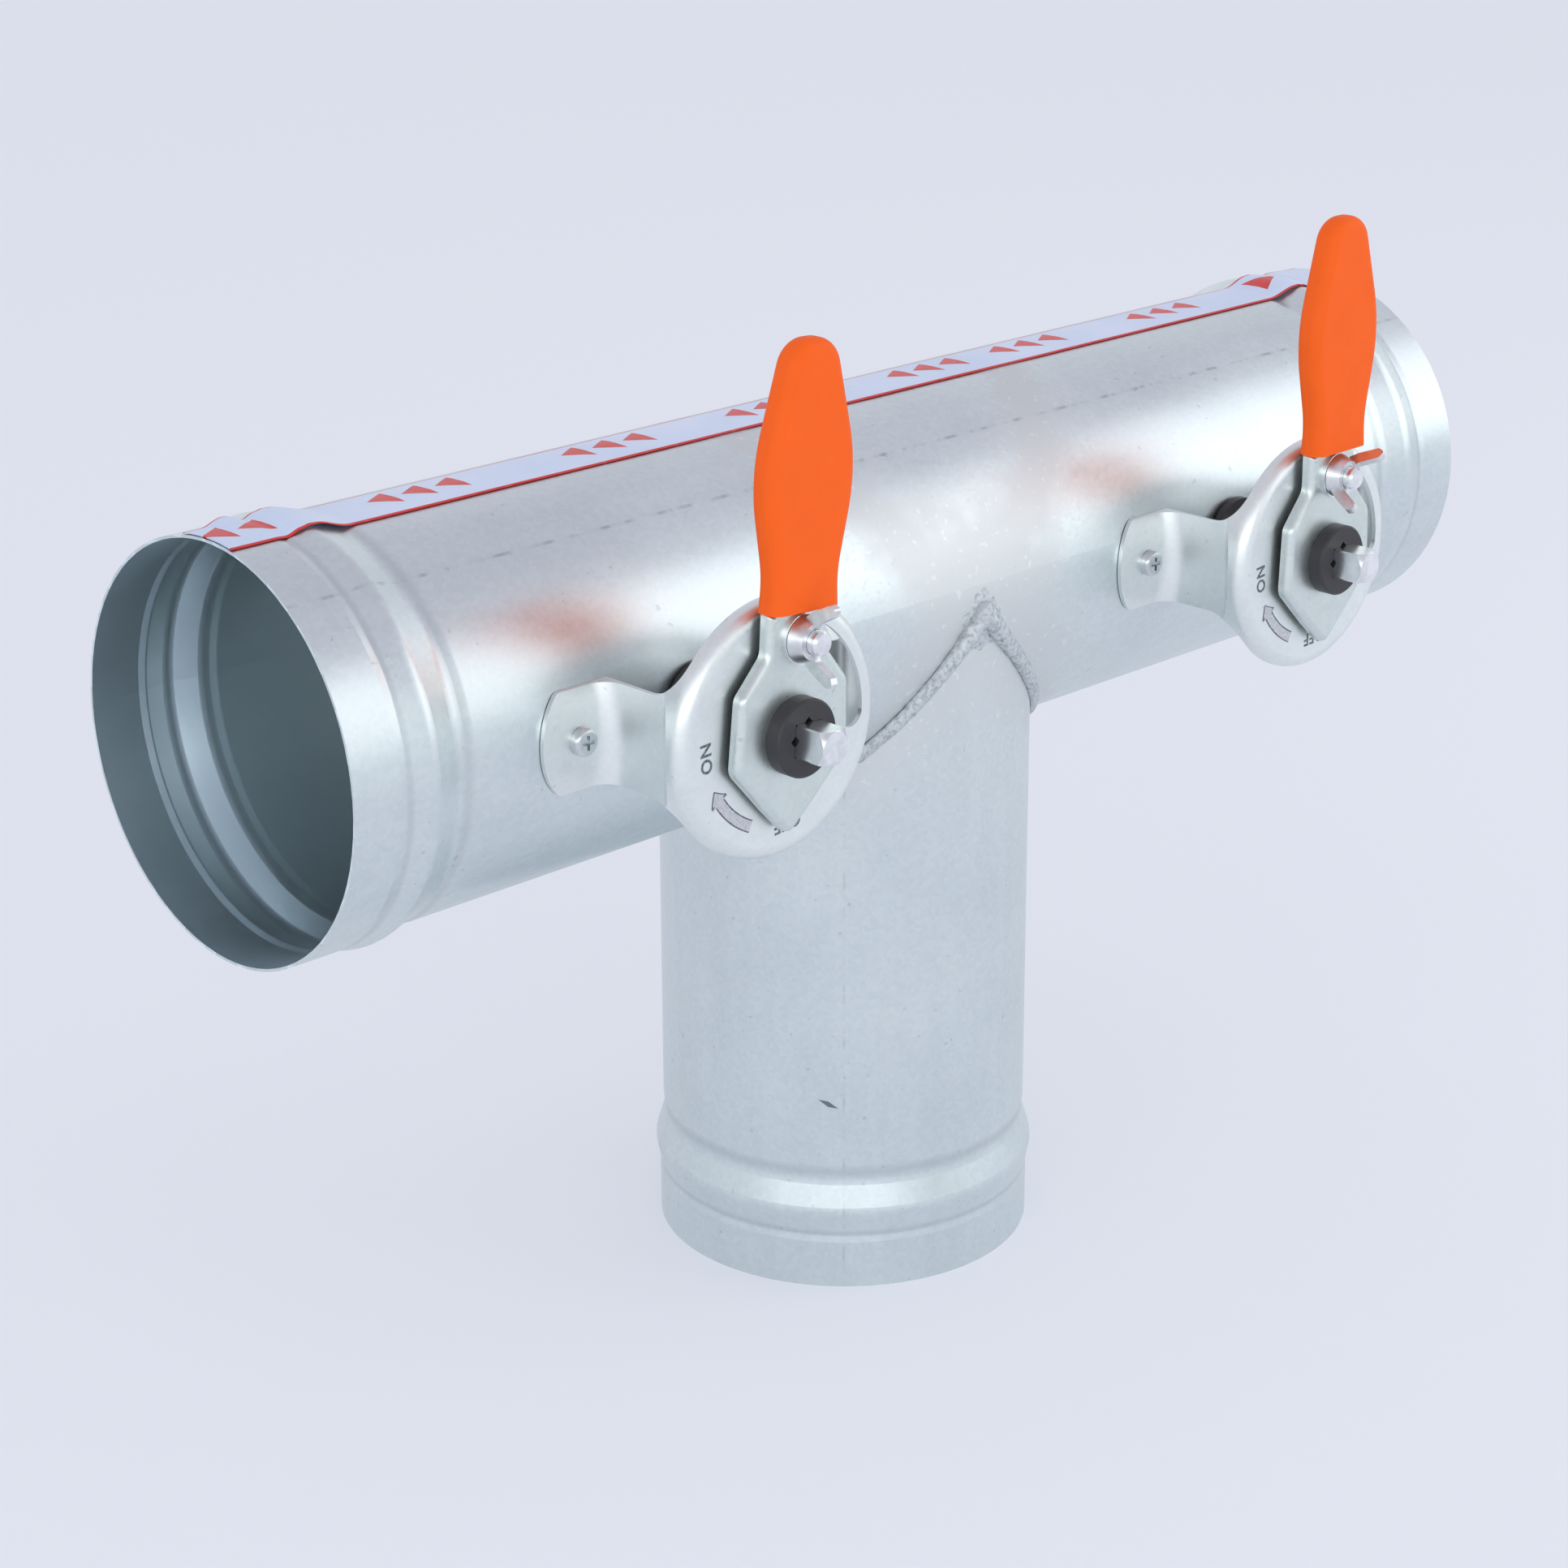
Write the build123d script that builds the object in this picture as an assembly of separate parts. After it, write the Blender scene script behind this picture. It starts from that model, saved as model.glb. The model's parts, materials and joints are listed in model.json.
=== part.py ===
from build123d import *
from math import degrees
import os

# Three-way diverter damper: a straight duct run with a branch welded below its middle.
# A round blade on a square shaft closes each arm of the run. A hand lever on the front
# turns each shaft over a pressed quadrant plate and is locked there by a wing nut.
# X lies along the run, Z points up and the levers are at the front, towards -Y.
# The origin is the centre of the branch's open end, on which the part stands.
# Pieces are drawn about the run's axis and lifted to their height at the end.
# "out" is a distance from the run's axis towards the front, measured along -Y.

# How far a cutter passes the face that it opens
cut_over = 1.0

# Sheet metal ducts
duct_radius = 50.0
duct_wall = 0.7
run_half_length = 202.2
run_axis_height = 184.4

# Socket and swaged bead at each open end. Each step is a distance along the duct from
# the step before, each rise a height over the duct's outside and each bend a radius.
socket_clearance = 0.4
socket_length = 13.0
bead_groove_step = 2.0
bead_groove_rise = 0.75
bead_groove_bend = 1.5
bead_crest_step = 7.0
bead_crest_rise = 2.35
bead_crest_bend = 6.0
bead_neck_step = 9.0
bead_neck_rise = -0.45
bead_neck_bend = 8.0
bead_tail_step = 4.0
bead_tail_bend = 6.0

# Saddle joint between the branch and the run
weld_radius = 2.3
weld_gap = 0.15
branch_mouth_lip = 0.5

# Label tape along the top of the run
tape_width = 18.2
tape_lean = 0.4
tape_thickness = 0.25
tape_gap = 0.1

# Shafts, by their distances from the run's ends. A lever turn is measured clockwise from
# upright, as the part stands at rest.
left_shaft_inset = 102.7
right_shaft_inset = 100.2
left_lever_turn = 3.5
right_lever_turn = 0.0
shaft_side = 8.0
shaft_corner_radius = 5.4
shaft_front_reach = 9.0
shaft_rear_reach = 3.5
shaft_end_radius = 3.9
shaft_end_chamfer = 1.5
square_gap = 0.05
running_gap = 0.05

# Blades with their bolts and nuts
blade_clearance = 1.0
blade_thickness = 1.0
blade_bolt_spread = 50.0
blade_bolt_radius = 2.0
blade_bolt_gap = 0.1
blade_hex_width = 7.0
blade_head_height = 2.8
blade_nut_height = 3.2
blade_bolt_end = 1.0

# Nylon bushes where a shaft passes through the duct wall, and the clip behind them
bush_radius = 7.45
bush_flange_radius = 10.5
bush_flange_thickness = 2.2
bush_seat_gap = 0.2
bush_blade_gap = 0.2
clip_radius = 8.0
clip_thickness = 0.8

# Quadrant plate and its screws
plate_stand_off = 28.0
plate_sheet = 1.2
plate_radius = 31.8
plate_edge_radius = 3.5
plate_rim_depth = 4.2
leg_reach = 28.6
leg_half_width = 12.5
leg_flare_radius = 9.0
leg_slope_depth = 7.8
leg_slope_run = 4.0
leg_slope_radius = 3.0
foot_reach = 49.2
foot_corner_reach = 43.4
foot_corner_radius = 2.0
foot_fold_radius = 5.5
plate_seat_gap = 0.15
slot_half_width = 3.8
slot_low_angle = -3.0
slot_sweep = 92.0
screw_fold_gap = 0.1
screw_head_radius = 3.5
screw_head_height = 2.4
screw_head_rounding = 1.2
screw_shank_radius = 2.0
screw_length = 9.0
screw_recess_width = 0.9
screw_recess_length = 3.6
screw_recess_depth = 1.3

# Lever, by heights over the shaft and half widths
lever_stand_off = 4.8
lever_sheet = 1.6
lever_depth = 3.2
lever_edge_radius = 1.8
neck_half_width = 9.5
neck_bottom = 19.8
neck_end_radius = 0.5
neck_root_radius = 4.0
shoulder_half_width = 17.2
shoulder_height = 10.8
shoulder_corner_radius = 3.5
cheek_half_width = 18.0
cheek_bottom = -7.0
cheek_corner_radius = 4.0
tail_half_width = 8.0
tail_top = -17.2
tail_root_radius = 8.0
tail_tip = -24.8
tail_tip_radius = 2.5
tang_half_width = 7.5

# Grip, by the heights over its mouth and half widths where its sides' lines cross, and
# the bends that round them
grip_mouth_height = 30.0
grip_mouth_gap = 0.3
grip_mouth_half_width = 10.8
grip_waist_half_width = 10.2
grip_waist_rise = 8.0
grip_waist_bend = 30.0
grip_belly_half_width = 15.0
grip_belly_rise = 32.0
grip_belly_bend = 45.0
grip_tip_half_width = 6.5
grip_tip_bend = 7.5
grip_length = 62.8
grip_tip_wall = 8.8
grip_thickness = 7.5
grip_edge_radius = 3.0
grip_fit_gap = 0.1

# Hub bush that joins the lever to the shaft
hub_head_height = 4.2
hub_head_radius = 9.5
hub_head_chamfer = 0.5
hub_square = 13.2
hub_barrel_radius = 6.55
hub_barrel_reach = 6.0
hub_notch_depth = 3.5
hub_notch_side = 7.6

# Lock bolt, washer and wing nut
bolt_circle_radius = 23.0
bolt_angle = 88.0
bolt_head_radius = 5.5
bolt_head_height = 2.0
bolt_head_gap = 0.3
bolt_shoulder_radius = 3.4
bolt_radius = 3.0
bolt_tip_reach = 2.7
bolt_tip_chamfer = 0.6
washer_radius = 6.2
washer_thickness = 1.0
wing_nut_gap = 0.1
wing_nut_bore_gap = 0.06
wing_boss_radius = 5.8
wing_boss_top_radius = 4.4
wing_boss_height = 3.4
wing_thickness = 2.0
wing_reach = 9.8
wing_height = 10.2
wing_foot_height = 0.6
wing_heel_height = 3.2
wing_sweep = 2.6
wing_tip_width = 2.0
wing_tip_slope = 0.6
wing_crotch_rise = 1.2
wing_heel_radius = 1.8
wing_tip_radius = 0.8
wing_crotch_radius = 0.4
left_wing_turn = 0.0
right_wing_turn = 43.0

left_shaft_x = left_shaft_inset - run_half_length
right_shaft_x = run_half_length - right_shaft_inset
inner_radius = duct_radius - duct_wall
half_shaft = shaft_side / 2
blade_radius = inner_radius - blade_clearance
blade_near = half_shaft + square_gap
blade_far = blade_near + blade_thickness
plate_out = duct_radius + plate_stand_off
plate_back_out = plate_out - plate_sheet
lever_out = plate_out + lever_stand_off
lever_back_out = lever_out - lever_sheet
hub_out = lever_out + hub_head_height
shaft_front_out = hub_out + shaft_front_reach
bush_seat_out = duct_radius + bush_seat_gap
bush_face_out = bush_seat_out + bush_flange_thickness
clip_face_out = bush_face_out + clip_thickness
shaft_rear_out = -(clip_face_out + shaft_rear_reach)
washer_face_out = lever_out + washer_thickness
nut_base_out = washer_face_out + wing_nut_gap
nut_top_out = nut_base_out + wing_boss_height
neck_top = grip_mouth_height - grip_mouth_gap
grip_top = grip_mouth_height + grip_length
tang_top = grip_top - grip_tip_wall
screw_seat_out = duct_radius + plate_seat_gap + plate_sheet
screw_offset = leg_reach + foot_fold_radius + screw_fold_gap + screw_head_radius


# Helpers


def slab(sketch, out_from, out_to):
    """Extrude a sketch, drawn as seen from the front, between two distances out."""
    return extrude(Plane.XZ.offset(out_from) * sketch, out_to - out_from)


def front_rod(radius, out_from, out_to):
    """Round bar that points to the front."""
    return slab(Circle(radius), out_from, out_to)


def side_rod(radius, x_from, x_to):
    """Round bar that points along X."""
    return extrude(Plane.YZ.offset(x_from) * Circle(radius), x_to - x_from)


def upright_rod(radius, z_from, z_to):
    """Round bar that points up."""
    return extrude(Plane.XY.offset(z_from) * Circle(radius), z_to - z_from)


def front_edges(solid):
    """Edges round the foremost face."""
    return solid.faces().sort_by(Axis.Y)[0].edges()


def mirrored_outline(right_side):
    """Closed outline from its right half, given from the top down as (x, z, corner radius)."""
    left_side = [(-x, z, r) for x, z, r in reversed(right_side) if x > 0]
    corners = right_side + left_side
    points = [(x, z) for x, z, r in corners]
    return make_face(FilletPolyline(points, radius=[r for x, z, r in corners], close=True))


# Ducts


def swaged_end(rim_x, inward):
    """Corners of a duct's outside from an open rim inwards, as (x, radius, bend radius)."""
    collar_rise = socket_clearance + duct_wall
    corners = [(rim_x, duct_radius + collar_rise, 0)]
    for step, rise, bend in (
        (socket_length, collar_rise, 0),
        (bead_groove_step, bead_groove_rise, bead_groove_bend),
        (bead_crest_step, bead_crest_rise, bead_crest_bend),
        (bead_neck_step, bead_neck_rise, bead_neck_bend),
        (bead_tail_step, 0, bead_tail_bend),
    ):
        along = corners[-1][0] + inward * step
        corners.append((along, duct_radius + rise, bend))
    return corners


run_corners = swaged_end(-run_half_length, 1) + swaged_end(run_half_length, -1)[::-1]
branch_corners = swaged_end(0, 1) + [(run_axis_height, duct_radius, 0)]


def wall_line(corners, offset):
    """Line along a duct at an offset inside its outer skin."""
    points = [(x, radius - offset) for x, radius, bend in corners]
    return FilletPolyline(points, radius=[bend for x, radius, bend in corners[1:-1]])


def wall_section(corners, outer_offset, inner_offset):
    """Half section of a duct wall about X, between two offsets from its outer skin."""
    outer = wall_line(corners, outer_offset)
    inner = wall_line(corners, inner_offset)
    rims = [Line(outer @ end, inner @ end) for end in (0, 1)]
    return make_face([outer, inner] + rims)


def run_tube():
    """The straight run, with holes for the branch, the bushes and the plate screws."""
    tube = revolve(wall_section(run_corners, 0, duct_wall), Axis.X)
    mouth_radius = inner_radius - branch_mouth_lip
    tube -= upright_rod(mouth_radius, -2 * duct_radius, 0)
    beyond = duct_radius + bead_crest_rise
    for shaft_x in (left_shaft_x, right_shaft_x):
        tube -= Pos(shaft_x, 0, 0) * front_rod(bush_radius + running_gap, -beyond, beyond)
        for side in (-1, 1):
            hole = front_rod(screw_shank_radius + square_gap, 0, beyond)
            tube -= Pos(shaft_x + side * screw_offset, 0, 0) * hole
    return tube


def branch_tube():
    """The branch below the run, cut to the saddle of the run's outside."""
    upright = Rot(0, -90, 0) * revolve(wall_section(branch_corners, 0, duct_wall), Axis.X)
    lowered = Pos(0, 0, -run_axis_height) * upright
    return lowered - side_rod(duct_radius + weld_gap, -2 * duct_radius, 2 * duct_radius)


def saddle_weld():
    """Weld bead in the corner between the two ducts, over two half ellipses."""
    bead = Pos(0, -duct_radius, 0) * Sphere(weld_radius)
    bead += Pos(0, duct_radius, 0) * Sphere(weld_radius)
    for side in (-1, 1):
        slope = Plane(origin=(0, 0, 0), x_dir=(side, 0, -1), z_dir=(1, 0, side))
        crotch = duct_radius * 2**0.5
        path = slope * EllipticalCenterArc((0, 0), crotch, duct_radius, -90, arc_size=180)
        ring = Plane(origin=path @ 0, z_dir=path % 0) * Circle(weld_radius)
        bead += sweep(ring, path=path)
    bead -= side_rod(duct_radius + weld_gap, -2 * duct_radius, 2 * duct_radius)
    bead -= upright_rod(duct_radius + weld_gap, -2 * duct_radius, 0)
    return bead


def label_tape():
    """Thin tape that follows the top of the run over both beads."""
    section = wall_section(run_corners, -tape_gap - tape_thickness, -tape_gap)
    sweep_angle = degrees(tape_width / duct_radius)
    start_angle = 90 + tape_lean - sweep_angle / 2
    return revolve(Rot(start_angle, 0, 0) * section, Axis.X, sweep_angle)


# Quadrant plate


def slot_outline():
    """Arc slot that the lock bolt travels in, as seen from the front."""
    middle = CenterArc((0, 0), bolt_circle_radius, slot_low_angle, slot_sweep)
    return SlotArc(middle, 2 * slot_half_width)


def leg_trim():
    """Cutter that leaves two legs behind the plate's rim, each with flared roots."""
    rim_out = plate_out - plate_rim_depth
    depth = 2 * rim_out
    height = 2 * plate_radius
    centre_out = rim_out - depth / 2
    centre_z = leg_half_width + height / 2
    block = Pos(0, -centre_out, centre_z) * Box(4 * plate_radius, depth, height)
    roots = block.edges().filter_by(Axis.X).group_by(Axis.Z)[0].sort_by(Axis.Y)[0]
    return fillet(roots, leg_flare_radius)


def leg_flats(growth):
    """Cutters that leave the legs flat and slope out to the rim, grown by a thickness."""
    beyond = 2 * plate_radius
    slope_out = plate_out - leg_slope_depth
    corners = [
        (leg_reach, 0),
        (leg_reach, -slope_out),
        (leg_reach + leg_slope_run, -slope_out - leg_slope_run),
        (beyond, -slope_out - leg_slope_run),
        (beyond, 0),
    ]
    radii = [0, leg_slope_radius, 0, 0, 0]
    outline = make_face(FilletPolyline(corners, radius=radii, close=True))
    flat = extrude(offset(outline, growth) if growth else outline, plate_radius, both=True)
    return flat + mirror(flat, Plane.YZ)


def feet():
    """Band on the duct that both legs fold out into, with arched ends."""
    inner = duct_radius + plate_seat_gap
    band = side_rod(inner + plate_sheet, -foot_reach, foot_reach)
    band -= side_rod(inner, -foot_reach, foot_reach)
    sides = []
    for way in (-1, 1):
        corner = (way * foot_corner_reach, way * leg_half_width)
        below = (way * foot_corner_reach, -way * leg_half_width)
        across = (-way * foot_corner_reach, way * leg_half_width)
        sides.append(Line(corner, across))
        sides.append(ThreePointArc(corner, (way * foot_reach, 0), below))
    outline = make_face(sides)
    outline = fillet(outline.vertices(), foot_corner_radius)
    return band & slab(outline, 0, 2 * duct_radius)


def quadrant_plate():
    """Pressed plate: a rimmed disc with an arc slot, on two legs with curved feet."""
    back = duct_radius / 2
    beyond = plate_out + cut_over
    cup = fillet(front_edges(front_rod(plate_radius, back, plate_out)), plate_edge_radius)
    core = front_rod(plate_radius - plate_sheet, back, plate_back_out)
    core = fillet(front_edges(core), plate_edge_radius - plate_sheet)
    cup -= leg_flats(0)
    core -= leg_flats(plate_sheet)
    trim = leg_trim()
    cup -= trim + mirror(trim, Plane.XY)
    band = feet()
    plate = cup + band
    folds = new_edges(cup, band, combined=plate).sort_by(Axis.Y)[:2]
    plate = fillet(folds, foot_fold_radius)
    plate -= core
    plate -= side_rod(duct_radius + plate_seat_gap, -3 * plate_radius, 3 * plate_radius)
    plate -= slab(slot_outline(), back, beyond)
    plate -= front_rod(hub_barrel_radius + running_gap, back, beyond)
    for side in (-1, 1):
        hole = front_rod(screw_shank_radius + square_gap, back, beyond)
        plate -= Pos(side * screw_offset, 0, 0) * hole
    return plate


def plate_screw():
    """Pan head screw with a cross recess, seated on a foot."""
    head_out = screw_seat_out + screw_head_height
    head = front_rod(screw_head_radius, screw_seat_out, head_out)
    head = fillet(front_edges(head), screw_head_rounding)
    screw = head + front_rod(screw_shank_radius, screw_seat_out - screw_length, screw_seat_out)
    for width, height in (
        (screw_recess_width, screw_recess_length),
        (screw_recess_length, screw_recess_width),
    ):
        screw -= slab(Rectangle(width, height), head_out - screw_recess_depth, head_out)
    return screw


# Shaft, blade and bushes


def square_bore(out_from, out_to):
    """Cutter for a hole that fits the shaft."""
    side = shaft_side + 2 * square_gap
    return slab(Rectangle(side, side), out_from, out_to)


def shaft():
    """Square bar with rounded corners and turned ends, cross drilled for the blade."""
    front = shaft_front_out - shaft_end_chamfer
    rear = shaft_rear_out + shaft_end_chamfer
    half_outline = Polyline(
        (0, shaft_rear_out),
        (shaft_end_radius, shaft_rear_out),
        (shaft_corner_radius, rear),
        (shaft_corner_radius, front),
        (shaft_end_radius, shaft_front_out),
        (0, shaft_front_out),
        close=True,
    )
    turned = revolve(Rot(180, 0, 0) * make_face(half_outline), Axis.Y)
    bar = slab(Rectangle(shaft_side, shaft_side), shaft_rear_out, shaft_front_out) & turned
    for hole in blade_bolt_rods(blade_bolt_gap, half_shaft + cut_over):
        bar -= hole
    return bar


def blade_bolt_rods(gap, reach):
    """Bars along X at the two blade bolts, as wide as the bolts and the gap."""
    radius = blade_bolt_radius + gap
    return [
        Pos(0, side * blade_bolt_spread / 2, 0) * side_rod(radius, -reach, reach)
        for side in (-1, 1)
    ]


def blade():
    """Flat round blade beside the shaft."""
    disc = side_rod(blade_radius, -blade_far, -blade_near)
    for hole in blade_bolt_rods(blade_bolt_gap, blade_far + cut_over):
        disc -= hole
    return disc


def hexagon(x_from, height):
    """Hexagonal head or nut about X, one face towards +X at x_from plus its height."""
    outline = RegularPolygon(blade_hex_width / 2, 6, major_radius=False)
    return extrude(Plane.YZ.offset(x_from) * outline, height)


def blade_bolt(side):
    """Hexagon bolt through the blade and the shaft."""
    tip = half_shaft + blade_nut_height + blade_bolt_end
    bolt = hexagon(-blade_far - blade_head_height, blade_head_height)
    bolt += side_rod(blade_bolt_radius, -blade_far, tip)
    return Pos(0, side * blade_bolt_spread / 2, 0) * bolt


def blade_nut(side):
    """Nut on the far side of the shaft."""
    nut = hexagon(half_shaft, blade_nut_height)
    nut -= side_rod(blade_bolt_radius + blade_bolt_gap, 0, 2 * blade_nut_height + shaft_side)
    return Pos(0, side * blade_bolt_spread / 2, 0) * nut


def wall_bush():
    """Flanged nylon bush that turns with the shaft in the duct wall."""
    bush = front_rod(bush_radius, blade_radius + bush_blade_gap, bush_seat_out)
    bush += front_rod(bush_flange_radius, bush_seat_out, bush_face_out)
    return bush - square_bore(0, bush_face_out)


def retaining_clip():
    """Push-on washer that holds the shaft's rear end."""
    clip = front_rod(clip_radius, bush_face_out, clip_face_out)
    return mirror(clip - square_bore(bush_face_out, clip_face_out), Plane.XZ)


# Lever, grip and hub


def lever_outline():
    """Lever as seen from the front: neck, shoulders, cheeks and pointed tail."""
    return mirrored_outline([
        (neck_half_width, neck_top, neck_end_radius),
        (neck_half_width, neck_bottom, neck_root_radius),
        (shoulder_half_width, shoulder_height, shoulder_corner_radius),
        (cheek_half_width, cheek_bottom, cheek_corner_radius),
        (tail_half_width, tail_top, tail_root_radius),
        (0, tail_tip, tail_tip_radius),
    ])


def tang_outline(gap):
    """Flat tang inside the grip, grown by a gap."""
    half_width = tang_half_width + gap
    height = tang_top + gap
    straight = Pos(0, (height - half_width) / 2) * Rectangle(2 * half_width, height - half_width)
    return straight + Pos(0, height - half_width) * Circle(half_width)


def lever():
    """Pressed lever: a shallow tray with rims turned back, and a flat tang."""
    outline = lever_outline()
    tray = slab(outline, lever_out - lever_depth, lever_out)
    tray = fillet(front_edges(tray), lever_edge_radius)
    tray -= slab(offset(outline, -lever_sheet), 0, lever_back_out)
    tray += slab(tang_outline(0), lever_back_out, lever_out)
    side = hub_square + 2 * square_gap
    tray -= slab(Rectangle(side, side), 0, lever_out + cut_over)
    hole = front_rod(bolt_radius + square_gap, 0, lever_out + cut_over)
    return tray - at_bolt(hole)


def grip_outline():
    """Spindle outline of the grip, widest at its belly."""
    return Pos(0, grip_mouth_height) * mirrored_outline([
        (grip_tip_half_width, grip_length, grip_tip_bend),
        (grip_belly_half_width, grip_belly_rise, grip_belly_bend),
        (grip_waist_half_width, grip_waist_rise, grip_waist_bend),
        (grip_mouth_half_width, 0, 0),
    ])


def grip():
    """Moulded sleeve over the tang, open at its mouth."""
    middle_out = lever_out - lever_sheet / 2
    back_out = middle_out - grip_thickness / 2
    sleeve = slab(grip_outline(), back_out, back_out + grip_thickness)
    flats = sleeve.faces().filter_by(Axis.Y)
    long_edges = [edge for flat in flats for edge in flat.edges().sort_by(Axis.Z)[1:]]
    sleeve = fillet(long_edges, grip_edge_radius)
    return sleeve - slab(tang_outline(grip_fit_gap), lever_back_out - grip_fit_gap,
                         lever_out + grip_fit_gap)


def hub_bush():
    """Moulded bush: head, square neck in the lever and round barrel in the plate."""
    head = front_rod(hub_head_radius, lever_out, hub_out)
    head = chamfer(front_edges(head), hub_head_chamfer)
    bush = head + slab(Rectangle(hub_square, hub_square), lever_back_out, lever_out)
    bush += front_rod(hub_barrel_radius, plate_out - hub_barrel_reach, lever_back_out)
    bush -= square_bore(0, hub_out)
    notch = Rot(0, 0, 45) * Rectangle(hub_notch_side, hub_notch_side)
    return bush - slab(notch, hub_out - hub_notch_depth, hub_out)


# Lock bolt and wing nut


def at_bolt(piece):
    """Move a piece from the shaft's axis to the lock bolt's axis."""
    spot = Vector(bolt_circle_radius, 0, 0).rotate(Axis.Y, -bolt_angle)
    return Pos(*spot) * piece


def lock_bolt():
    """Bolt with a flat head behind the plate, a shoulder in its slot and a threaded end."""
    head_out = plate_back_out - bolt_head_gap
    tip_out = nut_top_out + bolt_tip_reach
    bolt = front_rod(bolt_radius, lever_back_out, tip_out)
    bolt = chamfer(front_edges(bolt), bolt_tip_chamfer)
    bolt += front_rod(bolt_shoulder_radius, head_out, lever_back_out)
    bolt += front_rod(bolt_head_radius, head_out - bolt_head_height, head_out)
    return at_bolt(bolt)


def lock_washer():
    """Plain washer between the lever and the wing nut."""
    washer = front_rod(washer_radius, lever_out, washer_face_out)
    return at_bolt(washer - front_rod(bolt_radius + square_gap, lever_out, washer_face_out))


def wing_outline():
    """One wing, by distance from the bolt's axis, height over the nut's base and corner radius."""
    foot = wing_boss_radius - wing_tip_slope
    corners = [
        (bolt_radius, wing_foot_height, 0),
        (foot, wing_foot_height, wing_heel_radius),
        (wing_reach - wing_sweep, wing_heel_height, wing_heel_radius),
        (wing_reach, wing_height - wing_tip_width, wing_tip_radius),
        (wing_reach - wing_tip_slope, wing_height, wing_tip_radius),
        (wing_reach - wing_sweep, wing_height - wing_tip_slope, wing_tip_radius),
        (wing_boss_top_radius, wing_boss_height + wing_crotch_rise, wing_crotch_radius),
        (bolt_radius, wing_boss_height, 0),
    ]
    points = [(x, z) for x, z, r in corners]
    return make_face(FilletPolyline(points, radius=[r for x, z, r in corners], close=True))


def wing_nut(turn):
    """Wing nut: a tapered boss with two upswept wings, turned about the bolt."""
    base = Plane.XZ.offset(nut_base_out)
    rings = [base * Circle(wing_boss_radius),
             base.offset(wing_boss_height) * Circle(wing_boss_top_radius)]
    nut = loft(rings)
    side = (-wing_thickness / 2, -nut_base_out, 0)
    upright = Plane(origin=side, x_dir=(0, 0, 1), z_dir=(1, 0, 0))
    wing = extrude(upright * wing_outline(), wing_thickness)
    nut += wing
    nut += mirror(wing, Plane.XY)
    nut -= front_rod(bolt_radius + wing_nut_bore_gap, 0, 2 * nut_top_out)
    return at_bolt(Rot(0, turn, 0) * nut)


# Assembly


def damper_pieces(wing_turn):
    """Pieces that one lever turns, and the wing nut on it, about an upright lever."""
    front_bush = wall_bush()
    return {
        "shaft": shaft(),
        "blade": blade(),
        "blade_bolts": Compound([blade_bolt(side) for side in (-1, 1)]),
        "blade_nuts": Compound([blade_nut(side) for side in (-1, 1)]),
        "front_bush": front_bush,
        "rear_bush": mirror(front_bush, Plane.XZ),
        "rear_clip": retaining_clip(),
        "hub_bush": hub_bush(),
        "lever": lever(),
        "grip": grip(),
        "lock_bolt": lock_bolt(),
        "lock_washer": lock_washer(),
        "wing_nut": wing_nut(wing_turn),
    }


def all_pieces():
    """Every piece by name, in place about the run's axis."""
    pieces = {
        "run_tube": run_tube(),
        "branch_tube": branch_tube(),
        "saddle_weld": saddle_weld(),
        "label_tape": label_tape(),
    }
    plate = quadrant_plate()
    screw = plate_screw()
    screws = []
    for side, shaft_x, lever_turn, wing_turn in (
        ("left", left_shaft_x, left_lever_turn, left_wing_turn),
        ("right", right_shaft_x, right_lever_turn, right_wing_turn),
    ):
        pieces[side + "_quadrant_plate"] = Pos(shaft_x, 0, 0) * plate
        screws += [Pos(shaft_x + way * screw_offset, 0, 0) * screw for way in (-1, 1)]
        for name, piece in damper_pieces(wing_turn).items():
            pieces[side + "_" + name] = Pos(shaft_x, 0, 0) * Rot(0, lever_turn, 0) * piece
    pieces["plate_screws"] = Compound(screws)
    return pieces


os.makedirs("parts", exist_ok=True)
for piece_name, piece in all_pieces().items():
    export_step(Pos(0, 0, run_axis_height) * piece, "parts/" + piece_name + ".step")
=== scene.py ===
# %% [markdown]
# # A three-way diverter damper
#
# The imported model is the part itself: two ducts, two dampers and their hand levers, each
# at its real size and place. This notebook dresses it for the camera. It gives every
# surface a finish, and models the small things that only the eye needs: a rough weld, a
# wrinkled tape, stamped signs and screw threads.
#
# Lengths are in metres. X lies along the run, Z points up and the levers face -Y.

# %% Load the part
import json
import math

import bmesh
import bpy
from mathutils import Matrix, Vector, noise


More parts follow.
